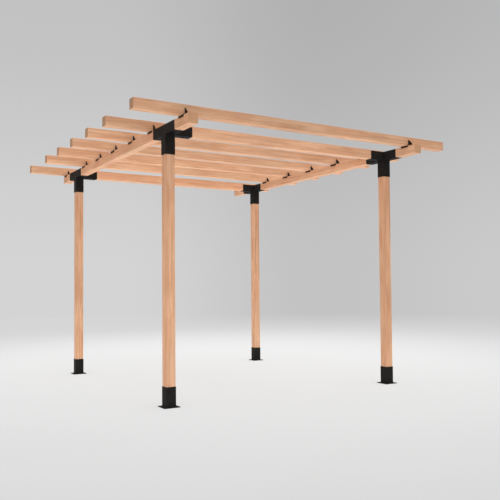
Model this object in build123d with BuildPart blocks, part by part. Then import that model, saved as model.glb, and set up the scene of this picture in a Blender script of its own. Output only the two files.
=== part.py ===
"""Wooden pergola: square timbers joined by black steel brackets.

Millimetres, +Z up, the origin on the floor under the middle of the frame.
X runs along the rafters from left to right, Y along the side rails from front to back.
"""
from build123d import *
import os

os.makedirs("parts", exist_ok=True)

# Timber
timber = 89.0                 # side of every square timber
timber_edge_r = 3.0           # eased long edges
post_length = 2438.0
post_spacing_x = 2596.0       # centre to centre, left to right
post_spacing_y = 2740.0       # centre to centre, front to back
rail_overhang = 518.0         # side rail past the post centre, front and back
rafter_overhang = 491.0       # rafter past the rail centre, left and right
inner_rafter_count = 5        # rafters between the corner brackets
rafter_to_front_arm = 43.0    # from a front corner bracket's arm to the next rafter
rafter_to_back_arm = 55.0     # from a back corner bracket's arm to the next rafter
front_rafter_inset = 107.0    # from the rail's front end to the first rafter
back_rafter_inset = 40.0      # from the rail's back end to the last rafter

# Steel
wall = 3.0                    # folded plate and tube wall
fit_gap = 0.25                # clearance between timber and steel, each side
bend_r = 4.0                  # outside of a folded edge
tube_corner_r = 2.5           # outer corners of the square tubes

# Post base
base_plate_side = 155.0
base_plate_t = 6.0
base_plate_corner_r = 6.0
base_sleeve_height = 177.0
base_weld = 4.0               # bead round the foot of the sleeve
bead_slope = 45.0             # degrees
anchor_spacing = 126.0
anchor_hole_d = 13.0

# Corner bracket
rail_arm_length = 188.0       # arms along the rail, past the face of the post sleeve
beam_arm_length = 173.0       # arm along the cross beam, likewise
side_plate_shortfall = 1.5    # side plates stop this far under the rail's top
side_plate_corner_r = 3.0     # upper corners of the side plates at the arm ends
post_sleeve_drop = 178.0      # sleeve that hangs over the head of the post

# Rafter bracket
saddle_t = 4.0                # plate between rail and rafter
saddle_nose = 12.0            # plate and lips run on past the rafter's front face
lip_drop = 15.0               # turned down over both faces of the rail
lip_t = 3.0
ear_setback = 16.0            # gusset stands this far in from the rail's face
ear_reach = 57.0              # foot of the ear, along the rail
ear_height = 57.0             # flange of the ear, up the rafter
ear_width = 33.0              # foot and flange, across the rail
ear_plate_t = 3.0
ear_tip = 8.0                 # blunt ends of the gusset and the flange

# Worked out from the sizes above
sleeve_inner = timber + 2 * fit_gap
sleeve_outer = sleeve_inner + 2 * wall
rail_arm_end = sleeve_outer / 2 + rail_arm_length
beam_arm_end = sleeve_outer / 2 + beam_arm_length
side_plate_height = wall + timber - side_plate_shortfall
post_x = post_spacing_x / 2
post_y = post_spacing_y / 2
post_head_z = base_plate_t + post_length
rail_bottom_z = post_head_z + wall
rail_top_z = rail_bottom_z + timber
rafter_bottom_z = rail_top_z + saddle_t
rail_length = post_spacing_y + 2 * rail_overhang
rafter_length = post_spacing_x + 2 * rafter_overhang
cross_beam_length = post_spacing_x - timber - 2 * fit_gap

# Rafters: one outside each pair of posts, the others evenly spaced between the brackets
front_rafter_y = -rail_length / 2 + front_rafter_inset + timber / 2
back_rafter_y = rail_length / 2 - back_rafter_inset - timber / 2
front_inner_y = -post_y + rail_arm_end + rafter_to_front_arm + timber / 2
back_inner_y = post_y - rail_arm_end - rafter_to_back_arm - timber / 2
rafter_pitch = (back_inner_y - front_inner_y) / (inner_rafter_count - 1)
inner_rafters = [front_inner_y + i * rafter_pitch for i in range(inner_rafter_count)]
rafter_ys = [front_rafter_y] + inner_rafters + [back_rafter_y]

# Post places, and which way along X each corner's cross beam leaves
corners = {
    "front_left": (-post_x, -post_y, 1),
    "front_right": (post_x, -post_y, -1),
    "back_left": (-post_x, post_y, 1),
    "back_right": (post_x, post_y, -1),
}
rail_sides = {"left": -post_x, "right": post_x}


def square_timber(start, length):
    """Square timber with eased long edges, from a plane at its end."""
    with BuildPart() as stick:
        with BuildSketch(start):
            RectangleRounded(timber, timber, timber_edge_r)
        extrude(amount=length)
    return stick.part


def post_base(site):
    """Floor plate with four anchor holes, and a welded sleeve for the post's foot."""
    plate_top = site.offset(base_plate_t)
    bead_side = sleeve_outer + 2 * base_weld
    with BuildPart() as base:
        with BuildSketch(site):
            RectangleRounded(base_plate_side, base_plate_side, base_plate_corner_r)
            with GridLocations(anchor_spacing, anchor_spacing, 2, 2):
                Circle(anchor_hole_d / 2, mode=Mode.SUBTRACT)
        extrude(amount=base_plate_t)
        with BuildSketch(plate_top):
            RectangleRounded(bead_side, bead_side, tube_corner_r + base_weld)
        extrude(amount=base_weld, taper=bead_slope)
        with BuildSketch(plate_top):
            RectangleRounded(sleeve_outer, sleeve_outer, tube_corner_r)
        extrude(amount=base_sleeve_height)
        with BuildSketch(plate_top):
            Rectangle(sleeve_inner, sleeve_inner)
        extrude(amount=base_sleeve_height, mode=Mode.SUBTRACT)
    return base.part


def channel_profile(start):
    """Outer form of a folded channel: rounded below, where the plates turn up."""
    with BuildSketch(start) as profile:
        Rectangle(sleeve_outer, side_plate_height, align=(Align.CENTER, Align.MIN))
        fillet(profile.vertices().group_by(Axis.Y)[0], bend_r)
    return profile.sketch


def corner_bracket(site):
    """Three-way saddle: two arms hold the side rail, one the cross beam.

    The plane sits on the head of the post; its X points along the cross beam.
    """
    with BuildPart() as bracket:
        # Folded channels, filled for now
        far_end = site.from_local_coords((0, rail_arm_end, 0))
        rail_start = Plane(origin=far_end, x_dir=site.x_dir, z_dir=-site.y_dir)
        beam_start = Plane(origin=site.origin, x_dir=site.y_dir, z_dir=site.x_dir)
        extrude(channel_profile(rail_start), amount=2 * rail_arm_end)
        extrude(channel_profile(beam_start), amount=beam_arm_end)
        # Room for the rail and the beam, open at the top and at the three ends
        with BuildSketch(site.offset(wall)):
            Rectangle(sleeve_inner, 2 * rail_arm_end)
            Rectangle(beam_arm_end, sleeve_inner, align=(Align.MIN, Align.CENTER))
        extrude(amount=side_plate_height, mode=Mode.SUBTRACT)
        # Upper corners of the side plates, rounded at the arm ends
        uprights = bracket.edges().filter_by(GeomType.LINE)
        tops = uprights.filter_by_position(
            Axis.Z,
            site.origin.Z + side_plate_height - side_plate_shortfall,
            site.origin.Z + side_plate_height + side_plate_shortfall,
        )
        ends = [e for e in tops if abs(e.length - wall) < fit_gap]
        fillet(ends, side_plate_corner_r)
        # Sleeve that hangs over the head of the post
        with BuildSketch(site):
            RectangleRounded(sleeve_outer, sleeve_outer, tube_corner_r)
            Rectangle(sleeve_inner, sleeve_inner, mode=Mode.SUBTRACT)
        extrude(amount=-post_sleeve_drop)
    return bracket.part


def rafter_bracket(site):
    """Saddle plate with two lips over the rail and one gusseted ear.

    The plane sits on top of the rail under the middle of the rafter.
    """
    half = timber / 2
    lip_inner = half + fit_gap
    lip_outer = lip_inner + lip_t
    ear_left = -half + ear_setback
    ear_back = -half - fit_gap
    ear_top = saddle_t + ear_height
    with BuildPart() as bracket:
        # Plate between rail and rafter, folded down over both faces of the rail
        profile = site.from_local_coords((0, half, 0))
        with BuildSketch(Plane(origin=profile, x_dir=site.x_dir, z_dir=-site.y_dir)):
            with Locations((0, -lip_drop)):
                Rectangle(2 * lip_outer, lip_drop + saddle_t, align=(Align.CENTER, Align.MIN))
            fillet(vertices().group_by(Axis.Y)[-1], bend_r)
            with Locations((0, -lip_drop)):
                Rectangle(
                    2 * lip_inner,
                    lip_drop,
                    align=(Align.CENTER, Align.MIN),
                    mode=Mode.SUBTRACT,
                )
        extrude(amount=timber + saddle_nose)
        # Foot of the ear, flat on the rail
        foot_start = site.from_local_coords((ear_left, ear_back, 0))
        with BuildSketch(Plane(origin=foot_start, x_dir=-site.y_dir, z_dir=-site.x_dir)):
            Rectangle(ear_reach, saddle_t, align=Align.MIN)
        extrude(amount=-ear_width)
        # Flange of the ear, up the rafter's front face, with its outer corner cut away
        with BuildSketch(Plane(origin=foot_start, x_dir=site.x_dir, z_dir=-site.y_dir)):
            with BuildLine():
                Polyline(
                    (0, 0),
                    (ear_width, 0),
                    (ear_width, saddle_t + ear_tip),
                    (ear_tip, ear_top),
                    (0, ear_top),
                    close=True,
                )
            make_face()
        extrude(amount=ear_plate_t)
        # Gusset that closes the ear on the side towards the rail's face
        gusset_start = site.from_local_coords((ear_left, ear_back, saddle_t))
        with BuildSketch(Plane(origin=gusset_start, x_dir=-site.y_dir, z_dir=-site.x_dir)):
            with BuildLine():
                Polyline(
                    (0, 0),
                    (ear_reach, 0),
                    (ear_reach, ear_tip),
                    (ear_tip, ear_height),
                    (0, ear_height),
                    close=True,
                )
            make_face()
        extrude(amount=-ear_plate_t)
    return bracket.part


def save(piece, name):
    """Label one piece and write its file."""
    piece.label = name
    export_step(piece, f"parts/{name}.step")


# Corners: base, post and bracket, one on top of the other
for place, (x, y, inward) in corners.items():
    foot = Plane(origin=(x, y, 0), x_dir=(inward, 0, 0), z_dir=(0, 0, 1))
    save(post_base(foot), f"post_base_{place}")
    save(square_timber(foot.offset(base_plate_t), post_length), f"post_{place}")
    save(corner_bracket(foot.offset(post_head_z)), f"corner_bracket_{place}")

# Rails run through the brackets; cross beams butt against the rails
rail_mid_z = rail_bottom_z + timber / 2
for side, x in rail_sides.items():
    end = Plane(origin=(x, -rail_length / 2, rail_mid_z), x_dir=(1, 0, 0), z_dir=(0, 1, 0))
    save(square_timber(end, rail_length), f"side_rail_{side}")
for place, y in (("front", -post_y), ("back", post_y)):
    end = Plane(origin=(-cross_beam_length / 2, y, rail_mid_z), x_dir=(0, 1, 0), z_dir=(1, 0, 0))
    save(square_timber(end, cross_beam_length), f"cross_beam_{place}")

# Rafters, each on two brackets
rafter_mid_z = rafter_bottom_z + timber / 2
for number, y in enumerate(rafter_ys, start=1):
    end = Plane(origin=(-rafter_length / 2, y, rafter_mid_z), x_dir=(0, 1, 0), z_dir=(1, 0, 0))
    save(square_timber(end, rafter_length), f"rafter_{number}")
    for side, x in rail_sides.items():
        seat = Plane(origin=(x, y, rail_top_z), x_dir=(1, 0, 0), z_dir=(0, 0, 1))
        save(rafter_bracket(seat), f"rafter_bracket_{side}_{number}")
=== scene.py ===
"""Looks of a timber pergola: sawn softwood, black coated steel, its screws and welds, and a pale studio.

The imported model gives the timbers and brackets. This script finishes them and adds the small parts.
Everything is in metres, in the model's own frame: +Z up, the front of the pergola towards -Y.
"""
import math

import bmesh
import bpy
from mathutils import Matrix, Vector


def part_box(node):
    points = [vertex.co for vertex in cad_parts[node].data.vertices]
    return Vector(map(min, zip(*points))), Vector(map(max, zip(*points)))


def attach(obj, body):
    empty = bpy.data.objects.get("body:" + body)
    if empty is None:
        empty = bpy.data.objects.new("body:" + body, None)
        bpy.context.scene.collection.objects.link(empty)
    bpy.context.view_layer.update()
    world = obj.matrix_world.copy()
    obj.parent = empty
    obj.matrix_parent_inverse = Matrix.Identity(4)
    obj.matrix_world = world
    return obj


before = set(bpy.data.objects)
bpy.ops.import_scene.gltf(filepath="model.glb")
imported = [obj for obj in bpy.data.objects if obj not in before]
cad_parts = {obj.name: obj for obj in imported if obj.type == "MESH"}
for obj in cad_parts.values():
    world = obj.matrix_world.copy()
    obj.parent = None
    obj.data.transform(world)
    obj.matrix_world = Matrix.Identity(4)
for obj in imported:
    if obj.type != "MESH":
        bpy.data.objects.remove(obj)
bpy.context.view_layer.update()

bl_info = {
    "name": "Timber Pergola Finish",
    "version": (1, 0, 0),
    "blender": (4, 5, 0),
    "location": "View3D > Sidebar > Pergola",
    "description": "Wood, coated steel, screws, welds and a studio for a timber pergola",
    "category": "Object",
}

POWDER_COAT = "black_powder_coat"
CORNERS = ("front_left", "front_right", "back_left", "back_right")
SIDES = ("left", "right")
RAFTER_NUMBERS = range(1, 8)
UP = Vector((0, 0, 1))
SLEEVE_FACES = (Vector((1, 0, 0)), Vector((0, 1, 0)), Vector((-1, 0, 0)), Vector((0, -1, 0)))

# How each kind of timber lies, and the turn that brings its grain onto the pattern's own Z
ALONG_X = (0.0, math.radians(90), 0.0)
ALONG_Y = (math.radians(-90), 0.0, 0.0)
ALONG_Z = (0.0, 0.0, 0.0)

# Name, lie, side of the heart in degrees, and lightness.
# The heart is on top at 180 in a timber along X, and at -90 in one along Y.
TIMBERS = (
    ("post_front_left", ALONG_Z, 180, 1.05),
    ("post_front_right", ALONG_Z, 250, 0.98),
    ("post_back_left", ALONG_Z, 60, 1.00),
    ("post_back_right", ALONG_Z, 80, 1.01),
    ("side_rail_left", ALONG_Y, 205, 1.00),
    ("side_rail_right", ALONG_Y, -105, 0.97),
    ("cross_beam_front", ALONG_X, 165, 1.00),
    ("cross_beam_back", ALONG_X, 195, 1.05),
    ("rafter_1", ALONG_X, 160, 0.90),
    ("rafter_2", ALONG_X, 200, 0.99),
    ("rafter_3", ALONG_X, 170, 1.01),
    ("rafter_4", ALONG_X, 150, 1.03),
    ("rafter_5", ALONG_X, 205, 1.05),
    ("rafter_6", ALONG_X, 175, 1.06),
    ("rafter_7", ALONG_X, 185, 1.04),
)
STEELWORK = (
    [f"post_base_{corner}" for corner in CORNERS]
    + [f"corner_bracket_{corner}" for corner in CORNERS]
    + [f"rafter_bracket_{side}_{number}" for side in SIDES for number in RAFTER_NUMBERS]
)

# Kinds of socket on the node groups
NUMBER = "NodeSocketFloat"
VECTOR = "NodeSocketVector"
COLOUR = "NodeSocketColor"

# Noise in the wood: scale, squash of the place along the grain, which draws the pattern out, and detail
WANDER = (3.4, 0.16, 2.0)
STRANDS = (75.0, 0.03, 3.0)
FIBRES = (620.0, 0.012, 3.0)
CLOUDS = (5.0, 0.30, 3.0)
PATCHES = (16.0, 0.22, 3.0)

# Painted pool of light that the camera sees on the floor, as greys by share of the way out to where it takes
# the background's grey
FLOOR_FADE_END = 16.0
FLOOR_LIGHT_POOL_GREYS = ((0.0, 0.765), (0.13, 0.732), (0.20, 0.705), (0.30, 0.680), (0.39, 0.662), (0.64, 0.605))


class TimberLook(bpy.types.PropertyGroup):
    """Colours and grain of the sawn softwood."""

    spring_wood: bpy.props.FloatVectorProperty(
        name="Spring wood",
        description="Pale wood between the growth rings",
        subtype="COLOR",
        size=3,
        min=0,
        max=1,
        default=(0.90, 0.545, 0.337),
    )
    summer_wood: bpy.props.FloatVectorProperty(
        name="Summer wood",
        description="Darker wood of the growth rings",
        subtype="COLOR",
        size=3,
        min=0,
        max=1,
        default=(0.64, 0.334, 0.190),
    )
    heart_tint: bpy.props.FloatVectorProperty(
        name="Heart tint",
        description="Tint near the heart of the tree, and in patches",
        subtype="COLOR",
        size=3,
        min=0,
        max=1,
        default=(0.92, 0.83, 0.78),
    )
    end_grain: bpy.props.FloatVectorProperty(
        name="End grain",
        description="Cut ends of the timbers",
        subtype="COLOR",
        size=3,
        min=0,
        max=1,
        default=(0.49, 0.265, 0.145),
    )
    ring_spacing: bpy.props.FloatProperty(
        name="Ring spacing",
        description="Distance from one growth ring to the next",
        default=0.0042,
        min=0.001,
        unit="LENGTH",
    )
    pith_distance: bpy.props.FloatProperty(
        name="Pith distance",
        description="How far from a timber's middle the heart of the tree lay",
        default=0.085,
        unit="LENGTH",
    )
    lean: bpy.props.FloatProperty(
        name="Lean",
        description="How far the grain leans out of the sawn line, metres to a metre",
        default=0.011,
    )
    relief: bpy.props.FloatProperty(
        name="Relief",
        description="Height of the sawn grain",
        default=0.0003,
        unit="LENGTH",
    )


class SteelLook(bpy.types.PropertyGroup):
    """Colour and coat of the steelwork."""

    # Painted shade: the dark coat goes on faces that point up or down, so that the undersides look shaded.
    coat: bpy.props.FloatVectorProperty(
        name="Coat",
        description="Black powder coat, as it stays on level faces",
        subtype="COLOR",
        size=3,
        min=0,
        max=1,
        default=(0.006, 0.0055, 0.0055),
    )
    # Painted light as well as dusting: upright faces take this lighter coat.
    dust_and_light_coat: bpy.props.FloatVectorProperty(
        name="Dust And Light",
        description="Coat dulled by wood dust and handling, on upright faces",
        subtype="COLOR",
        size=3,
        min=0,
        max=1,
        default=(0.0198, 0.0178, 0.0160),
    )
    # Partly a painted highlight: edges are painted lighter where a rounded edge would catch the light, as
    # well as where the coat is rubbed.
    rubbed_and_highlight: bpy.props.FloatVectorProperty(
        name="Rubbed edge",
        description="Coat where edges have been handled",
        subtype="COLOR",
        size=3,
        min=0,
        max=1,
        default=(0.06, 0.055, 0.052),
    )
    edge_width: bpy.props.FloatProperty(
        name="Edge width",
        description="How far the rubbed edge reaches in",
        default=0.0018,
        unit="LENGTH",
    )
    sheen: bpy.props.FloatProperty(
        name="Sheen",
        description="Strength of the reflections on the coat",
        default=0.08,
        min=0,
        max=1,
        subtype="FACTOR",
    )
    peel_size: bpy.props.FloatProperty(
        name="Peel size",
        description="Width of one dimple in the coat",
        default=0.0022,
        unit="LENGTH",
    )
    peel_relief: bpy.props.FloatProperty(
        name="Peel relief",
        description="Depth of the dimples in the coat",
        default=0.00012,
        unit="LENGTH",
    )


class ScrewSizes(bpy.types.PropertyGroup):
    """Flange-head timber screws, as much of them as stands out of the steel."""

    flange_d: bpy.props.FloatProperty(
        name="Flange", description="Diameter of the flange", default=0.0125, unit="LENGTH"
    )
    flange_t: bpy.props.FloatProperty(
        name="Flange thickness", description="Thickness of the flange", default=0.0014, unit="LENGTH"
    )
    hex_width: bpy.props.FloatProperty(
        name="Hexagon", description="Head across its flats", default=0.008, unit="LENGTH"
    )
    hex_height: bpy.props.FloatProperty(
        name="Head height", description="Head above the flange", default=0.0042, unit="LENGTH"
    )
    small_scale: bpy.props.FloatProperty(
        name="Small screw", description="Size of a rafter bracket's screw against the others", default=0.66
    )


class BracketSizes(bpy.types.PropertyGroup):
    """Places on the steelwork that screws and welds go by."""

    sleeve_side: bpy.props.FloatProperty(
        name="Sleeve", description="Outer width of a post sleeve", default=0.0955, unit="LENGTH"
    )
    plate_t: bpy.props.FloatProperty(
        name="Floor plate", description="Thickness of a floor plate", default=0.006, unit="LENGTH"
    )
    sleeve_drop: bpy.props.FloatProperty(
        name="Sleeve drop",
        description="Length of the sleeve under a corner saddle",
        default=0.178,
        unit="LENGTH",
    )
    ear_setback: bpy.props.FloatProperty(
        name="Ear setback",
        description="From the rail's face in to the gusset of a rafter bracket",
        default=0.016,
        unit="LENGTH",
    )
    lip_reach: bpy.props.FloatProperty(
        name="Lip reach",
        description="From the rail's face out to the outside of a rafter bracket's lip",
        default=0.00325,
        unit="LENGTH",
    )
    flange_reach: bpy.props.FloatProperty(
        name="Flange reach",
        description="From a rafter's face out to the front of the flange on it",
        default=0.00325,
        unit="LENGTH",
    )
    fold_r: bpy.props.FloatProperty(
        name="Fold", description="Outer radius of a fold", default=0.004, unit="LENGTH"
    )
    weld_leg: bpy.props.FloatProperty(
        name="Weld", description="How far a bead reaches out of its corner", default=0.0042, unit="LENGTH"
    )
    weld_pitch: bpy.props.FloatProperty(
        name="Weld pitch",
        description="From one ripple of a bead to the next",
        default=0.0036,
        unit="LENGTH",
    )


class StudioLook(bpy.types.PropertyGroup):
    """Floor, background, lamps and camera."""

    # Painted light: the floor's own grey falls from this near the pergola to the far grey farther out, a
    # painted falloff of light.
    floor: bpy.props.FloatProperty(
        name="Floor",
        description="Grey of the floor itself, which lights the undersides",
        default=0.97,
        min=0,
        max=1,
    )
    floor_far: bpy.props.FloatProperty(
        name="Far floor", description="Grey of the floor itself, far out", default=0.58, min=0, max=1
    )
    backdrop_low: bpy.props.FloatProperty(
        name="Backdrop foot", description="Grey of the background at floor level", default=0.545, min=0, max=1
    )
    backdrop_high: bpy.props.FloatProperty(
        name="Backdrop head", description="Grey of the background high up", default=0.44, min=0, max=1
    )
    left_light: bpy.props.FloatProperty(
        name="Left light", description="How much lighter the background is at the left", default=0.21, min=0
    )
    right_light: bpy.props.FloatProperty(
        name="Right light", description="How much lighter the background is at the right", default=0.09, min=0
    )
    backdrop_from: bpy.props.FloatVectorProperty(
        name="Backdrop from",
        description="Spot on the floor that the background's lighter sides are measured from",
        size=3,
        unit="LENGTH",
        default=(-3.76, -6.87, 0),
    )
    shadow_share: bpy.props.FloatProperty(
        name="Shadow share",
        description="How much of the floor's own light and shadow the camera sees",
        default=0.25,
        min=0,
        max=1,
        subtype="FACTOR",
    )
    floor_radius: bpy.props.FloatProperty(
        name="Floor radius", description="Size of the floor", default=60.0, unit="LENGTH"
    )
    floor_centre: bpy.props.FloatVectorProperty(
        name="Floor centre",
        description="Brightest spot of the floor",
        size=3,
        unit="LENGTH",
        default=(1.0, 1.6, 0),
    )
    ambient: bpy.props.FloatProperty(
        name="Ambient", description="Light from all round", default=0.42, min=0
    )
    overhead: bpy.props.FloatProperty(
        name="Overhead lamp", description="Strength of the soft lamp overhead", default=2.9, min=0
    )
    camera_place: bpy.props.FloatVectorProperty(
        name="Camera",
        description="Where the camera stands",
        size=3,
        unit="LENGTH",
        default=(-3.7559, -6.8678, 1.0804),
    )
    camera_turn: bpy.props.FloatVectorProperty(
        name="Camera turn",
        description="Yaw, pitch and roll in degrees",
        size=3,
        default=(-31.084, 1.961, -0.456),
    )
    focal_px: bpy.props.FloatProperty(
        name="Focal length", description="In widths of a pixel of the 500-wide picture", default=664.07
    )
    picture_centre: bpy.props.FloatVectorProperty(
        name="Optical centre",
        description="In pixels of the 500-wide picture",
        size=2,
        default=(250.0, 262.67),
    )


class PergolaSettings(bpy.types.PropertyGroup):
    """All settings of the pergola."""

    timber: bpy.props.PointerProperty(type=TimberLook)
    steel: bpy.props.PointerProperty(type=SteelLook)
    screws: bpy.props.PointerProperty(type=ScrewSizes)
    brackets: bpy.props.PointerProperty(type=BracketSizes)
    studio: bpy.props.PointerProperty(type=StudioLook)


def plug(tree, socket, value):
    """Feed a socket from another one, or set it to a plain value."""
    if isinstance(value, bpy.types.NodeSocket):
        tree.links.new(value, socket)
    else:
        socket.default_value = value


def calc(tree, operation, *values):
    """A Math node and its result."""
    node = tree.nodes.new("ShaderNodeMath")
    node.operation = operation
    for socket, value in zip(node.inputs, values):
        plug(tree, socket, value)
    return node.outputs[0]


def total(tree, first, *others):
    """Sum of several values."""
    for value in others:
        first = calc(tree, "ADD", first, value)
    return first


def swing(tree, value, amount):
    """A noise value brought round zero and scaled."""
    middle = 0.5
    return calc(tree, "MULTIPLY", calc(tree, "SUBTRACT", value, middle), amount)


def ramp(tree, value, low, high, out_low=0.0, out_high=1.0):
    """Smooth step of a value from one range to another."""
    node = tree.nodes.new("ShaderNodeMapRange")
    node.interpolation_type = "SMOOTHSTEP"
    for socket, item in zip(node.inputs, (value, low, high, out_low, out_high)):
        plug(tree, socket, item)
    return node.outputs[0]


def blend_colour(tree, factor, first, second, mode="MIX"):
    """A colour Mix node and its result."""
    node = tree.nodes.new("ShaderNodeMix")
    node.data_type = "RGBA"
    node.blend_type = mode
    plug(tree, node.inputs["Factor"], factor)
    plug(tree, node.inputs["A"], first)
    plug(tree, node.inputs["B"], second)
    return node.outputs["Result"]


def tinted(tree, colour, tint):
    """A colour multiplied by another one, or by a grey."""
    return blend_colour(tree, 1.0, colour, tint, "MULTIPLY")


def vector_calc(tree, operation, *vectors):
    """A Vector Math node's outputs: Vector, or Value for a product or a distance."""
    node = tree.nodes.new("ShaderNodeVectorMath")
    node.operation = operation
    for socket, vector in zip(node.inputs, vectors):
        plug(tree, socket, vector)
    return node.outputs


def axes(tree, vector):
    """The X, Y and Z of a vector."""
    node = tree.nodes.new("ShaderNodeSeparateXYZ")
    tree.links.new(vector, node.inputs[0])
    return node.outputs


def noise(tree, vector, scale, detail=2.0, seed=None):
    """Noise value from 0 to 1, with an extra dimension where a seed is given."""
    node = tree.nodes.new("ShaderNodeTexNoise")
    node.noise_dimensions = "3D" if seed is None else "4D"
    plug(tree, node.inputs["Vector"], vector)
    plug(tree, node.inputs["Scale"], scale)
    plug(tree, node.inputs["Detail"], detail)
    if seed is not None:
        plug(tree, node.inputs["W"], seed)
    return node.outputs["Fac"]


def new_group(name, inputs, outputs):
    """An empty shader node group with named sockets: its tree, its inputs and its output node."""
    tree = bpy.data.node_groups.new(name, "ShaderNodeTree")
    for socket_name, kind in inputs:
        tree.interface.new_socket(socket_name, in_out="INPUT", socket_type=kind)
    for socket_name, kind in outputs:
        tree.interface.new_socket(socket_name, in_out="OUTPUT", socket_type=kind)
    entry = tree.nodes.new("NodeGroupInput")
    leave = tree.nodes.new("NodeGroupOutput")
    return tree, entry.outputs, leave.inputs


def edge_wear_and_highlight_group():
    """Mask of the rubbed edges, which are also a painted edge highlight, from the true normal and one rounded
    over the edges.
    """
    name = "edge_wear"
    if name in bpy.data.node_groups:
        return bpy.data.node_groups[name]
    inputs = [
        ("Vector", VECTOR),
        ("Normal", VECTOR),
        ("Rounded Normal", VECTOR),
        ("Patch Size", NUMBER),
    ]
    tree, given, result = new_group(name, inputs, [("Mask", NUMBER)])
    rubbed_range = (0.80, 0.99, 1.0, 0.0)
    kept_range = (0.38, 0.62)
    patch_detail = 4.0
    agreement = vector_calc(tree, "DOT_PRODUCT", given["Normal"], given["Rounded Normal"])["Value"]
    edge = ramp(tree, agreement, *rubbed_range)
    patches = noise(tree, given["Vector"], calc(tree, "DIVIDE", 1.0, given["Patch Size"]), patch_detail)
    kept = ramp(tree, patches, *kept_range)
    tree.links.new(calc(tree, "MULTIPLY", edge, kept), result["Mask"])
    return tree


def grain_noise(tree, given, pattern, seed_shift=None):
    """One of the wood's noise patterns, drawn out along the grain."""
    scale, squash, detail = pattern
    seed = given["Seed"]
    if seed_shift is not None:
        seed = total(tree, seed, seed_shift)
    drawn_out = vector_calc(tree, "MULTIPLY", given["Vector"], (1.0, 1.0, squash))["Vector"]
    return noise(tree, drawn_out, scale, detail, seed)


def growth_rings(tree, given):
    """Distance from the wavering heart line, and the mask of the dark late wood in each ring."""
    waver = 0.06
    width_change_pace = 0.35
    width_change = 2.4
    late_wood_rise = (0.25, 0.90)
    late_wood_fall = (0.92, 1.0, 1.0, 0.0)
    place = axes(tree, given["Vector"])
    lean = calc(tree, "MULTIPLY", place["Z"], given["Lean"])
    across = total(tree, calc(tree, "SUBTRACT", place["X"], given["Heart X"]), lean)
    up = calc(tree, "SUBTRACT", place["Y"], given["Heart Y"])
    squares = total(tree, calc(tree, "POWER", across, 2.0), calc(tree, "POWER", up, 2.0))
    reach = total(tree, calc(tree, "SQRT", squares), swing(tree, grain_noise(tree, given, WANDER), waver))
    rings = calc(tree, "DIVIDE", reach, given["Ring Spacing"])
    years = tree.nodes.new("ShaderNodeCombineXYZ")
    tree.links.new(calc(tree, "MULTIPLY", rings, width_change_pace), years.inputs["X"])
    years_noise = noise(tree, years.outputs[0], scale=1.0, detail=1.0, seed=given["Seed"])
    uneven = calc(tree, "MULTIPLY", years_noise, width_change)
    year = calc(tree, "FRACT", total(tree, rings, uneven))
    late = calc(tree, "MULTIPLY", ramp(tree, year, *late_wood_rise), ramp(tree, year, *late_wood_fall))
    return reach, late


def side_grain(tree, given, reach, late, fibre):
    """Colour of the long faces: rings, strands and fibres, tinted near the heart and in patches."""
    late_weight = 0.5
    strand_weight = 2.2
    fibre_weight = 0.7
    least_weight = 0.14
    heart_range = (0.045, 0.10, 0.75, 0.0)
    patch_range = (0.44, 0.60, 0.0, 0.85)
    patch_seed_shift = 9.0
    rings = calc(tree, "MULTIPLY", late, late_weight)
    strands = swing(tree, grain_noise(tree, given, STRANDS), strand_weight)
    fibres = swing(tree, fibre, fibre_weight)
    weight = total(tree, rings, strands, fibres, least_weight)
    weight = calc(tree, "MINIMUM", calc(tree, "MAXIMUM", weight, 0.0), 1.0)
    wood = blend_colour(tree, weight, given["Spring Wood"], given["Summer Wood"])
    near_heart = ramp(tree, reach, *heart_range)
    in_patches = ramp(tree, grain_noise(tree, given, PATCHES, patch_seed_shift), *patch_range)
    heart = calc(tree, "MINIMUM", total(tree, near_heart, in_patches), 1.0)
    return blend_colour(tree, heart, wood, tinted(tree, wood, given["Heart Tint"]))


def end_grain(tree, given, late):
    """Colour of the cut ends, where the rings show more strongly."""
    ring_shade = (0.0, 1.0, 1.08, 0.62)
    return tinted(tree, given["End Grain"], ramp(tree, late, *ring_shade))


def softwood_group():
    """Growth rings round a heart line, fibres, slow changes of tone and darker cut ends.

    The grain runs along the vector's Z.
    """
    name = "sawn_softwood"
    if name in bpy.data.node_groups:
        return bpy.data.node_groups[name]
    inputs = [
        ("Vector", VECTOR),
        ("Facing", VECTOR),
        ("Spring Wood", COLOUR),
        ("Summer Wood", COLOUR),
        ("Heart Tint", COLOUR),
        ("End Grain", COLOUR),
        ("Ring Spacing", NUMBER),
        ("Heart X", NUMBER),
        ("Heart Y", NUMBER),
        ("Lean", NUMBER),
        ("Seed", NUMBER),
        ("Tone", NUMBER),
    ]
    outputs = [("Color", COLOUR), ("Roughness", NUMBER), ("Height", NUMBER)]
    tree, given, result = new_group(name, inputs, outputs)
    end_range = (0.6, 0.9)
    cloud_range = (0.32, 0.68, -0.08, 0.06)
    # Colour
    reach, late = growth_rings(tree, given)
    fibre = grain_noise(tree, given, FIBRES)
    long_faces = side_grain(tree, given, reach, late, fibre)
    is_end = ramp(tree, calc(tree, "ABSOLUTE", axes(tree, given["Facing"])["Z"]), *end_range)
    wood = blend_colour(tree, is_end, long_faces, end_grain(tree, given, late))
    clouds = ramp(tree, grain_noise(tree, given, CLOUDS), *cloud_range)
    tree.links.new(tinted(tree, wood, total(tree, clouds, given["Tone"])), result["Color"])
    # Late wood is smoother and stands a little higher, fibres are rougher
    least_rough = 0.60
    fibre_rough = 0.16
    late_smooth = 0.08
    late_height = 0.5
    fibre_height = 0.6
    rough = total(tree, least_rough, calc(tree, "MULTIPLY", fibre, fibre_rough))
    rough = calc(tree, "SUBTRACT", rough, calc(tree, "MULTIPLY", late, late_smooth))
    tree.links.new(rough, result["Roughness"])
    ridges = calc(tree, "MULTIPLY", late, late_height)
    tree.links.new(total(tree, ridges, calc(tree, "MULTIPLY", fibre, fibre_height)), result["Height"])
    return tree


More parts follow.
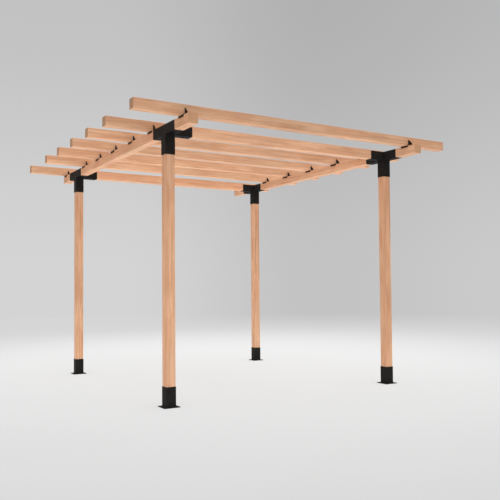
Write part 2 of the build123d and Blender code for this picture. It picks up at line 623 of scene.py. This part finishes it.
def powder_coat_group():
    """Fine dimples, a dark coat on level faces as painted shade, a lighter coat with dusting on upright
    faces, and rubbed edges, partly a painted highlight, of a black powder coat.
    """
    name = "powder_coat"
    if name in bpy.data.node_groups:
        return bpy.data.node_groups[name]
    inputs = [
        ("Vector", VECTOR),
        ("Facing", VECTOR),
        ("Edge", NUMBER),
        ("Coat", COLOUR),
        ("Dust And Light", COLOUR),
        ("Rubbed And Highlight", COLOUR),
        ("Peel Size", NUMBER),
    ]
    outputs = [("Color", COLOUR), ("Roughness", NUMBER), ("Height", NUMBER)]
    tree, given, result = new_group(name, inputs, outputs)
    peel_detail = 1.5
    haze_scale = 14.0
    haze_detail = 3.0
    upright_range = (0.3, 0.9, 1.0, 0.0)
    dust_range = (0.3, 0.7, 0.65, 1.0)
    rough_range = (0.25, 0.75, 0.56, 0.68)
    edge_polish = -0.08
    haze = noise(tree, given["Vector"], haze_scale, haze_detail)
    # Painted shade: faces that point up or down keep the dark coat, so that the undersides look shaded;
    # upright faces are painted lighter, with patches of dusting.
    upright = ramp(tree, calc(tree, "ABSOLUTE", axes(tree, given["Facing"])["Z"]), *upright_range)
    dust_and_light_mask = calc(tree, "MULTIPLY", upright, ramp(tree, haze, *dust_range))
    coat = blend_colour(tree, dust_and_light_mask, given["Coat"], given["Dust And Light"])
    # Painted highlight and wear: edges are painted lighter, as worn coat and as a painted edge highlight.
    tree.links.new(blend_colour(tree, given["Edge"], coat, given["Rubbed And Highlight"]), result["Color"])
    polish = calc(tree, "MULTIPLY", given["Edge"], edge_polish)
    tree.links.new(total(tree, ramp(tree, haze, *rough_range), polish), result["Roughness"])
    peel = noise(tree, given["Vector"], calc(tree, "DIVIDE", 1.0, given["Peel Size"]), peel_detail)
    tree.links.new(peel, result["Height"])
    return tree


def new_material(name):
    """A material with its node tree, its shader and its object coordinates."""
    material = bpy.data.materials.new(name)
    material.use_nodes = True
    tree = material.node_tree
    tree.nodes.clear()
    shader = tree.nodes.new("ShaderNodeBsdfPrincipled")
    leave = tree.nodes.new("ShaderNodeOutputMaterial")
    tree.links.new(shader.outputs["BSDF"], leave.inputs["Surface"])
    coordinates = tree.nodes.new("ShaderNodeTexCoord")
    return material, tree, shader, coordinates


def turned(tree, vector, rotation, location=(0.0, 0.0, 0.0)):
    """A vector brought into a timber's own axes."""
    node = tree.nodes.new("ShaderNodeMapping")
    node.vector_type = "TEXTURE"
    tree.links.new(vector, node.inputs["Vector"])
    node.inputs["Location"].default_value = location
    node.inputs["Rotation"].default_value = rotation
    return node.outputs["Vector"]


def use_group(tree, group, values):
    """Place a node group in a tree and feed its inputs."""
    node = tree.nodes.new("ShaderNodeGroup")
    node.node_tree = group
    for socket_name, value in values.items():
        plug(tree, node.inputs[socket_name], value)
    return node.outputs


def dress(tree, shader, finish, sheen, relief):
    """Feed a finish's colour, roughness and relief to the shader, and set its sheen."""
    tree.links.new(finish["Color"], shader.inputs["Base Color"])
    tree.links.new(finish["Roughness"], shader.inputs["Roughness"])
    shader.inputs["Specular IOR Level"].default_value = sheen
    bump = tree.nodes.new("ShaderNodeBump")
    bump.inputs["Strength"].default_value = 1.0
    bump.inputs["Distance"].default_value = relief
    tree.links.new(finish["Height"], bump.inputs["Height"])
    tree.links.new(bump.outputs["Normal"], shader.inputs["Normal"])


def opaque(colour):
    """A colour with full alpha, as a colour socket takes it."""
    return (*colour, 1.0)


def timber_material(index, name, lie, heart_side, tone, look):
    """Softwood for one timber, with a heart line and tone of its own."""
    golden_turn = 2.39996
    first_seed = 0.8
    seed_step = 1.7
    spacing_change = 0.2
    spacing_pace = 3.0
    lean_pace = 2.0
    sheen = 0.3
    end_shade = 1.42 if lie == ALONG_Y else 1.12
    material, tree, shader, coordinates = new_material(f"softwood_{name}")
    angle = math.radians(heart_side)
    variety = index * golden_turn
    wood = use_group(
        tree,
        softwood_group(),
        {
            "Vector": turned(tree, coordinates.outputs["Object"], lie, node_middle(name)),
            "Facing": turned(tree, coordinates.outputs["Normal"], lie),
            "Spring Wood": opaque(look.spring_wood),
            "Summer Wood": opaque(look.summer_wood),
            "Heart Tint": opaque(look.heart_tint),
            "End Grain": opaque([channel * end_shade for channel in look.end_grain]),
            "Ring Spacing": look.ring_spacing * (1.0 + spacing_change * math.sin(spacing_pace * variety)),
            "Heart X": look.pith_distance * math.cos(angle),
            "Heart Y": look.pith_distance * math.sin(angle),
            "Lean": look.lean * math.cos(lean_pace * variety),
            "Seed": first_seed + seed_step * index,
            "Tone": tone,
        },
    )
    dress(tree, shader, wood, sheen, look.relief)
    return material


def steel_material(look):
    """Black powder coat over folded and welded steel."""
    bevel_samples = 4
    wear_patch = 0.02
    material, tree, shader, coordinates = new_material(POWDER_COAT)
    rounded = tree.nodes.new("ShaderNodeBevel")
    rounded.samples = bevel_samples
    rounded.inputs["Radius"].default_value = look.edge_width
    geometry = tree.nodes.new("ShaderNodeNewGeometry")
    # Mask of the lighter edges: rubbed coat, and partly a painted edge highlight.
    wear_and_highlight = use_group(
        tree,
        edge_wear_and_highlight_group(),
        {
            "Vector": coordinates.outputs["Object"],
            "Normal": geometry.outputs["True Normal"],
            "Rounded Normal": rounded.outputs["Normal"],
            "Patch Size": wear_patch,
        },
    )
    coat = use_group(
        tree,
        powder_coat_group(),
        {
            "Vector": coordinates.outputs["Object"],
            "Facing": coordinates.outputs["Normal"],
            "Edge": wear_and_highlight["Mask"],
            # Coat colours: painted shade on faces that point up or down, painted light with dusting on
            # upright faces.
            "Coat": opaque(look.coat),
            "Dust And Light": opaque(look.dust_and_light_coat),
            "Rubbed And Highlight": opaque(look.rubbed_and_highlight),
            "Peel Size": look.peel_size,
        },
    )
    dress(tree, shader, coat, look.sheen, look.peel_relief)
    return material


def assign(piece, material):
    """Give every material slot of a piece one material."""
    if not piece.material_slots:
        piece.data.materials.append(material)
    for slot in piece.material_slots:
        slot.material = material


def mesh_from(name, bm):
    """Turn a bmesh into a mesh."""
    mesh = bpy.data.meshes.new(name)
    bm.to_mesh(mesh)
    bm.free()
    return mesh


def object_from(name, bm):
    """Turn a bmesh into an object in the scene."""
    item = bpy.data.objects.new(name, mesh_from(name, bm))
    bpy.context.scene.collection.objects.link(item)
    return item


def finish_piece(name, bm, material):
    """Turn a bmesh into a finished piece that rides on the pergola."""
    bmesh.ops.recalc_face_normals(bm, faces=bm.faces)
    piece = object_from(name, bm)
    assign(piece, material)
    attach(piece, "root")


def screw_template(sizes):
    """Mesh of one screw head, its seat on the origin and its axis along +Z."""
    flange_top_share = 0.42
    bevel_share = 0.09
    hair = 1e-5
    bm = bmesh.new()
    bmesh.ops.create_cone(
        bm,
        cap_ends=True,
        segments=14,
        radius1=sizes.flange_d / 2,
        radius2=sizes.flange_d * flange_top_share,
        depth=sizes.flange_t,
        matrix=Matrix.Translation(UP * sizes.flange_t / 2),
    )
    across_corners = sizes.hex_width / math.cos(math.radians(30)) / 2
    bmesh.ops.create_cone(
        bm,
        cap_ends=True,
        segments=6,
        radius1=across_corners,
        radius2=across_corners,
        depth=sizes.hex_height,
        matrix=Matrix.Translation(UP * (sizes.flange_t + sizes.hex_height / 2)),
    )
    top_z = sizes.flange_t + sizes.hex_height - hair
    top_edges = [edge for edge in bm.edges if all(end.co.z > top_z for end in edge.verts)]
    bmesh.ops.bevel(
        bm,
        geom=top_edges,
        offset=sizes.hex_width * bevel_share,
        affect="EDGES",
        segments=1,
        profile=0.5,
        material=-1,
    )
    return mesh_from("screw_template", bm)


def add_copy(bm, template, matrix):
    """Add a copy of a template, moved by a matrix."""
    bm.verts.index_update()
    before = len(bm.verts)
    bm.from_mesh(template)
    bm.verts.ensure_lookup_table()
    bmesh.ops.transform(bm, matrix=matrix, verts=bm.verts[before:])


def set_down(bm, template, place, normal, scale=1.0, turn=0.0):
    """Add a screw with its axis along a normal."""
    lay = Vector(normal).to_track_quat("Z", "Y").to_matrix().to_4x4()
    spin = Matrix.Rotation(turn, 4, "Z")
    add_copy(bm, template, Matrix.Translation(place) @ lay @ spin @ Matrix.Scale(scale, 4))


def node_middle(node):
    """Middle of a node's box."""
    low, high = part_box(node)
    return (low + high) / 2


def arm_directions(post):
    """The ways in which a corner bracket's arms run: along the rail both ways, and inward."""
    inward = Vector((-math.copysign(1.0, post.x), 0, 0))
    return Vector((0, -1, 0)), Vector((0, 1, 0)), inward


def sleeve_screws(bm, template, middle, half, heights):
    """Staggered screws on the four faces of a sleeve."""
    stagger = 0.024
    turn_step = 0.7
    for face, normal in enumerate(SLEEVE_FACES):
        side = UP.cross(normal)
        for row, height in enumerate(heights):
            shift = stagger * (1 if row % 2 else -1)
            place = Vector((middle.x, middle.y, height)) + normal * half + side * shift
            set_down(bm, template, place, normal, turn=turn_step * (row + 3 * face))


def arm_screws(bm, template, origin, along, half, bottom_z, reaches):
    """Staggered screws on both side plates of an arm, and one in its floor."""
    low_row = 0.027
    high_row = 0.066
    floor_reach = 0.150
    turn_step = 0.9
    across = UP.cross(along)
    for normal in (across, -across):
        for row, reach in enumerate(reaches):
            height = high_row if row % 2 else low_row
            place = origin + along * reach + normal * half
            place.z = bottom_z + height
            set_down(bm, template, place, normal, turn=turn_step * (row + 1))
    place = origin + along * floor_reach
    place.z = bottom_z
    set_down(bm, template, place, -UP)


def ear_screws(bm, template, foot, scale):
    """Screws in the flange of a rafter bracket's ear and in its foot.

    The foot is the ear's own corner: outside of the gusset, front of the flange and top of the plate.
    """
    in_flange = ((0.013, 0.034), (0.021, 0.014))
    in_foot = ((0.013, 0.042), (0.023, 0.022))
    for shift, rise in in_flange:
        set_down(bm, template, foot + Vector((shift, 0, rise)), (0, -1, 0), scale)
    for shift, reach in in_foot:
        set_down(bm, template, foot + Vector((shift, -reach, 0)), UP, scale)


def lip_screws(bm, template, low_x, high_x, middle_y, seat_z, scale):
    """Two screws in each of the lips that a rafter bracket turns down over the rail."""
    spread = 0.026
    drop = 0.0115
    for direction, face_x in ((-1, low_x), (1, high_x)):
        for shift in (-spread, spread):
            place = Vector((face_x, middle_y + shift, seat_z - drop))
            set_down(bm, template, place, (direction, 0, 0), scale)


def weld_template(leg):
    """One ripple of a weld bead, its middle in the corner and its travel along +Y."""
    ripple_shape = (0.95, 0.72, 0.95)
    bm = bmesh.new()
    bmesh.ops.create_uvsphere(bm, u_segments=8, v_segments=6, radius=leg)
    bmesh.ops.scale(bm, vec=ripple_shape, verts=bm.verts)
    bmesh.ops.rotate(bm, matrix=Matrix.Rotation(math.radians(90), 3, "X"), verts=bm.verts)
    for face in bm.faces:
        face.smooth = True
    return mesh_from("weld_template", bm)


def weld_run(bm, template, start, end, pitch):
    """Overlapping ripples of uneven size from one point to another."""
    swells = ((0.06, 2.7), (0.04, 7.1))
    travel = end - start
    count = max(2, round(travel.length / pitch))
    lay = travel.to_track_quat("Y", "Z").to_matrix().to_4x4()
    for step in range(count + 1):
        uneven = 1.0
        for size, pace in swells:
            uneven += size * math.sin(pace * step)
        place = start + travel * (step / count)
        add_copy(bm, template, Matrix.Translation(place) @ lay @ Matrix.Scale(uneven, 4))


def seen_directly(tree):
    """1 for rays that show the background itself: straight from the camera, mirrored or through glass."""
    path = tree.nodes.new("ShaderNodeLightPath")
    straight = calc(tree, "MAXIMUM", path.outputs["Is Camera Ray"], path.outputs["Is Glossy Ray"])
    return calc(tree, "MAXIMUM", straight, path.outputs["Is Transmission Ray"])


def as_written(tree, colour):
    """Emission that shows a colour as it is written."""
    glow = tree.nodes.new("ShaderNodeEmission")
    plug(tree, glow.inputs["Color"], colour)
    glow.inputs["Strength"].default_value = 1.0
    return glow.outputs["Emission"]


def mixed_shaders(tree, factor, first, second):
    """Two shaders mixed by a factor."""
    mix = tree.nodes.new("ShaderNodeMixShader")
    tree.links.new(factor, mix.inputs["Fac"])
    tree.links.new(first, mix.inputs[1])
    tree.links.new(second, mix.inputs[2])
    return mix.outputs[0]


def settings():
    """The pergola's settings in this scene."""
    return bpy.context.scene.pergola


class PERGOLA_OT_finish_timber(bpy.types.Operator):
    """Give each post, rail, beam and rafter its own sawn softwood"""

    bl_idname = "pergola.finish_timber"
    bl_label = "Finish Timber"

    def execute(self, context):
        look = settings().timber
        for index, (node, lie, heart_side, tone) in enumerate(TIMBERS):
            material = timber_material(index, node, lie, heart_side, tone, look)
            assign(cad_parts[node], material)
        return {"FINISHED"}


class PERGOLA_OT_finish_steel(bpy.types.Operator):
    """Give the bases and brackets their black powder coat"""

    bl_idname = "pergola.finish_steel"
    bl_label = "Finish Steel"

    def execute(self, context):
        material = steel_material(settings().steel)
        for node in STEELWORK:
            assign(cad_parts[node], material)
        return {"FINISHED"}


class PERGOLA_OT_add_base_screws(bpy.types.Operator):
    """Add the screws that hold each post in its base"""

    bl_idname = "pergola.add_base_screws"
    bl_label = "Add Base Screws"

    def execute(self, context):
        rises = (0.052, 0.095, 0.138)
        sizes = settings().brackets
        template = screw_template(settings().screws)
        steel = bpy.data.materials[POWDER_COAT]
        for corner in CORNERS:
            bm = bmesh.new()
            middle = node_middle(f"post_base_{corner}")
            heights = [sizes.plate_t + rise for rise in rises]
            sleeve_screws(bm, template, middle, sizes.sleeve_side / 2, heights)
            finish_piece(f"base_screws_{corner}", bm, steel)
        bpy.data.meshes.remove(template)
        return {"FINISHED"}


class PERGOLA_OT_add_corner_screws(bpy.types.Operator):
    """Add the screws of the corner brackets"""

    bl_idname = "pergola.add_corner_screws"
    bl_label = "Add Corner Screws"

    def execute(self, context):
        drops = (0.134, 0.090, 0.046)
        reaches = (0.085, 0.135, 0.185)
        sizes = settings().brackets
        half = sizes.sleeve_side / 2
        template = screw_template(settings().screws)
        steel = bpy.data.materials[POWDER_COAT]
        for corner in CORNERS:
            bm = bmesh.new()
            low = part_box(f"corner_bracket_{corner}")[0]
            post = node_middle(f"post_base_{corner}")
            saddle_z = low.z + sizes.sleeve_drop
            sleeve_screws(bm, template, post, half, [saddle_z - drop for drop in drops])
            for along in arm_directions(post):
                arm_screws(bm, template, post, along, half, saddle_z, reaches)
            finish_piece(f"corner_screws_{corner}", bm, steel)
        bpy.data.meshes.remove(template)
        return {"FINISHED"}


class PERGOLA_OT_add_rafter_screws(bpy.types.Operator):
    """Add the screws of the rafter brackets"""

    bl_idname = "pergola.add_rafter_screws"
    bl_label = "Add Rafter Screws"

    def execute(self, context):
        sizes = settings().brackets
        screws = settings().screws
        small = screws.small_scale
        template = screw_template(screws)
        steel = bpy.data.materials[POWDER_COAT]
        for side in SIDES:
            for number in RAFTER_NUMBERS:
                bm = bmesh.new()
                low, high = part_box(f"rafter_bracket_{side}_{number}")
                rafter_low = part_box(f"rafter_{number}")[0]
                middle_y = node_middle(f"rafter_{number}").y
                gusset_x = low.x + sizes.lip_reach + sizes.ear_setback
                foot = Vector((gusset_x, rafter_low.y - sizes.flange_reach, rafter_low.z))
                ear_screws(bm, template, foot, small)
                lip_screws(bm, template, low.x, high.x, middle_y, rafter_low.z, small)
                finish_piece(f"rafter_screws_{side}_{number}", bm, steel)
        bpy.data.meshes.remove(template)
        return {"FINISHED"}


class PERGOLA_OT_add_welds(bpy.types.Operator):
    """Add the weld beads of the bases and the corner brackets"""

    bl_idname = "pergola.add_welds"
    bl_label = "Add Welds"

    def execute(self, context):
        sizes = settings().brackets
        template = weld_template(sizes.weld_leg)
        steel = bpy.data.materials[POWDER_COAT]
        for corner in CORNERS:
            post = node_middle(f"post_base_{corner}")
            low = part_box(f"corner_bracket_{corner}")[0]
            bm = bmesh.new()
            self.weld_base(bm, template, Vector((post.x, post.y, sizes.plate_t)), sizes)
            finish_piece(f"base_weld_{corner}", bm, steel)
            bm = bmesh.new()
            self.weld_head(bm, template, Vector((post.x, post.y, low.z + sizes.sleeve_drop)), sizes)
            finish_piece(f"head_weld_{corner}", bm, steel)
        bpy.data.meshes.remove(template)
        return {"FINISHED"}

    def weld_base(self, bm, template, foot, sizes):
        """Bead round the foot of a base's sleeve."""
        half = sizes.sleeve_side / 2
        ring = [foot + Vector((half * x, half * y, 0)) for x, y in ((-1, -1), (1, -1), (1, 1), (-1, 1))]
        for start, end in zip(ring, ring[1:] + ring[:1]):
            weld_run(bm, template, start, end, sizes.weld_pitch)

    def weld_head(self, bm, template, head, sizes):
        """Beads under the three arms of a corner bracket, where they leave its sleeve."""
        half = sizes.sleeve_side / 2
        for along in arm_directions(head):
            across = UP.cross(along) * (half - sizes.fold_r)
            middle = head + along * half
            weld_run(bm, template, middle - across, middle + across, sizes.weld_pitch)


class PERGOLA_OT_set_studio(bpy.types.Operator):
    """Lay the floor, light it and set the background"""

    bl_idname = "pergola.set_studio"
    bl_label = "Set Studio"

    def execute(self, context):
        look = settings().studio
        self.lay_floor(look)
        self.set_background(look)
        self.hang_lamp(look)
        return {"FINISHED"}

    def lay_floor(self, look):
        """Wide round floor that turns into background far out."""
        rough = 0.9
        falloff_range = (2.0, 9.0)
        own_share_fade = (3.0, 12.0)
        bm = bmesh.new()
        bmesh.ops.create_circle(bm, cap_ends=True, segments=96, radius=look.floor_radius)
        floor = object_from("studio_floor", bm)
        material, tree, shader, coordinates = new_material("studio_floor")
        shader.inputs["Roughness"].default_value = rough
        shader.inputs["Specular IOR Level"].default_value = 0.0
        place = coordinates.outputs["Object"]
        reach = vector_calc(tree, "DISTANCE", place, look.floor_centre)["Value"]
        # Painted falloff of light: the floor's own grey darkens outward from near the pergola.
        floor_grey_with_falloff = ramp(tree, reach, *falloff_range, look.floor, look.floor_far)
        tree.links.new(floor_grey_with_falloff, shader.inputs["Base Color"])
        own_share = ramp(tree, reach, *own_share_fade, look.shadow_share, 0.0)
        shown_share = calc(tree, "MULTIPLY", seen_directly(tree), calc(tree, "SUBTRACT", 1.0, own_share))
        shown = as_written(tree, self.floor_light_pool(tree, place, reach, look))
        surface = mixed_shaders(tree, shown_share, shader.outputs["BSDF"], shown)
        tree.links.new(surface, tree.nodes["Material Output"].inputs["Surface"])
        assign(floor, material)

    def floor_light_pool(self, tree, place, reach, look):
        """Painted pool of light on the floor, from bright under the pergola to the background's grey far out.
        """
        side_lift_start = 0.3
        fade = tree.nodes.new("ShaderNodeValToRGB")
        fade.color_ramp.interpolation = "CARDINAL"
        tree.links.new(calc(tree, "DIVIDE", reach, FLOOR_FADE_END), fade.inputs["Fac"])
        stops = (*FLOOR_LIGHT_POOL_GREYS, (1.0, look.backdrop_low))
        points = fade.color_ramp.elements
        while len(points) < len(stops):
            points.new(0.5)
        for point, (position, grey) in zip(points, stops):
            point.position = position
            point.color = opaque((grey, grey, grey))
        far = ramp(tree, reach, side_lift_start * FLOOR_FADE_END, FLOOR_FADE_END)
        outward = vector_calc(tree, "SUBTRACT", place, look.backdrop_from)["Vector"]
        lift = calc(tree, "MULTIPLY", self.side_lift(tree, outward, look), far)
        return tinted(tree, fade.outputs["Color"], total(tree, 1.0, lift))

    def side_lift(self, tree, direction, look):
        """How much lighter the background is towards its two sides."""
        left_range = (-0.10, 0.20)
        right_range = (-0.40, -0.10)
        yaw = math.radians(look.camera_turn[0])
        to_the_left = (-math.cos(yaw), -math.sin(yaw), 0)
        unit = vector_calc(tree, "NORMALIZE", direction)["Vector"]
        leftward = vector_calc(tree, "DOT_PRODUCT", unit, to_the_left)["Value"]
        left = ramp(tree, leftward, *left_range, 0.0, look.left_light)
        right = ramp(tree, leftward, *right_range, look.right_light, 0.0)
        return total(tree, left, right)

    def set_background(self, look):
        """Even light from all round, and a soft gradient where the camera sees past the floor."""
        gradient_range = (0.0, 0.42)
        world = bpy.data.worlds.new("studio")
        bpy.context.scene.world = world
        world.use_nodes = True
        tree = world.node_tree
        tree.nodes.clear()
        direction = tree.nodes.new("ShaderNodeTexCoord").outputs["Generated"]
        rise = ramp(tree, axes(tree, direction)["Z"], *gradient_range)
        greys = [opaque((grey, grey, grey)) for grey in (look.backdrop_low, look.backdrop_high)]
        lift = total(tree, 1.0, self.side_lift(tree, direction, look))
        shown = tinted(tree, blend_colour(tree, rise, *greys), lift)
        light = tree.nodes.new("ShaderNodeBackground")
        light.inputs["Color"].default_value = opaque((1.0, 1.0, 1.0))
        light.inputs["Strength"].default_value = look.ambient
        view = tree.nodes.new("ShaderNodeBackground")
        tree.links.new(shown, view.inputs["Color"])
        surface = mixed_shaders(tree, seen_directly(tree), light.outputs[0], view.outputs[0])
        leave = tree.nodes.new("ShaderNodeOutputWorld")
        tree.links.new(surface, leave.inputs["Surface"])

    def hang_lamp(self, look):
        """One broad lamp, nearly overhead."""
        spread = math.radians(70)
        tilt = (math.radians(5), math.radians(3), 0)
        lamp = bpy.data.lights.new("overhead", "SUN")
        lamp.energy = look.overhead
        lamp.angle = spread
        item = bpy.data.objects.new("overhead", lamp)
        item.rotation_euler = tilt
        bpy.context.scene.collection.objects.link(item)


class PERGOLA_OT_place_camera(bpy.types.Operator):
    """Place the camera low, out from the front left corner"""

    bl_idname = "pergola.place_camera"
    bl_label = "Place Camera"

    def execute(self, context):
        look = settings().studio
        picture = 500.0
        camera = bpy.data.cameras.new("camera")
        camera.sensor_width = 36.0
        camera.lens = camera.sensor_width * look.focal_px / picture
        camera.shift_x = (picture / 2 - look.picture_centre[0]) / picture
        camera.shift_y = (look.picture_centre[1] - picture / 2) / picture
        camera.clip_end = 500.0
        item = bpy.data.objects.new("camera", camera)
        yaw, pitch, roll = (math.radians(angle) for angle in look.camera_turn)
        turn = (
            Matrix.Rotation(yaw, 4, "Z")
            @ Matrix.Rotation(math.radians(90) + pitch, 4, "X")
            @ Matrix.Rotation(roll, 4, "Z")
        )
        item.matrix_world = Matrix.Translation(look.camera_place) @ turn
        bpy.context.scene.collection.objects.link(item)
        bpy.context.scene.camera = item
        bpy.context.scene.view_settings.view_transform = "Standard"
        return {"FINISHED"}


OPERATORS = (
    PERGOLA_OT_finish_timber,
    PERGOLA_OT_finish_steel,
    PERGOLA_OT_add_base_screws,
    PERGOLA_OT_add_corner_screws,
    PERGOLA_OT_add_rafter_screws,
    PERGOLA_OT_add_welds,
    PERGOLA_OT_set_studio,
    PERGOLA_OT_place_camera,
)


class PERGOLA_PT_panel(bpy.types.Panel):
    """Pergola tools in the 3D view's sidebar"""

    bl_idname = "PERGOLA_PT_panel"
    bl_label = "Pergola"
    bl_space_type = "VIEW_3D"
    bl_region_type = "UI"
    bl_category = "Pergola"

    def draw(self, context):
        for operator in OPERATORS:
            self.layout.operator(operator.bl_idname)


CLASSES = (
    TimberLook,
    SteelLook,
    ScrewSizes,
    BracketSizes,
    StudioLook,
    PergolaSettings,
    *OPERATORS,
    PERGOLA_PT_panel,
)


def register():
    """Add the classes and the settings to Blender."""
    for item in CLASSES:
        bpy.utils.register_class(item)
    bpy.types.Scene.pergola = bpy.props.PointerProperty(type=PergolaSettings)


def unregister():
    """Take the settings and the classes out again."""
    del bpy.types.Scene.pergola
    for item in reversed(CLASSES):
        bpy.utils.unregister_class(item)


def main():
    """Build everything in order."""
    register()
    bpy.ops.pergola.finish_timber()
    bpy.ops.pergola.finish_steel()
    bpy.ops.pergola.add_base_screws()
    bpy.ops.pergola.add_corner_screws()
    bpy.ops.pergola.add_rafter_screws()
    bpy.ops.pergola.add_welds()
    bpy.ops.pergola.set_studio()
    bpy.ops.pergola.place_camera()


if __name__ == "__main__":
    main()
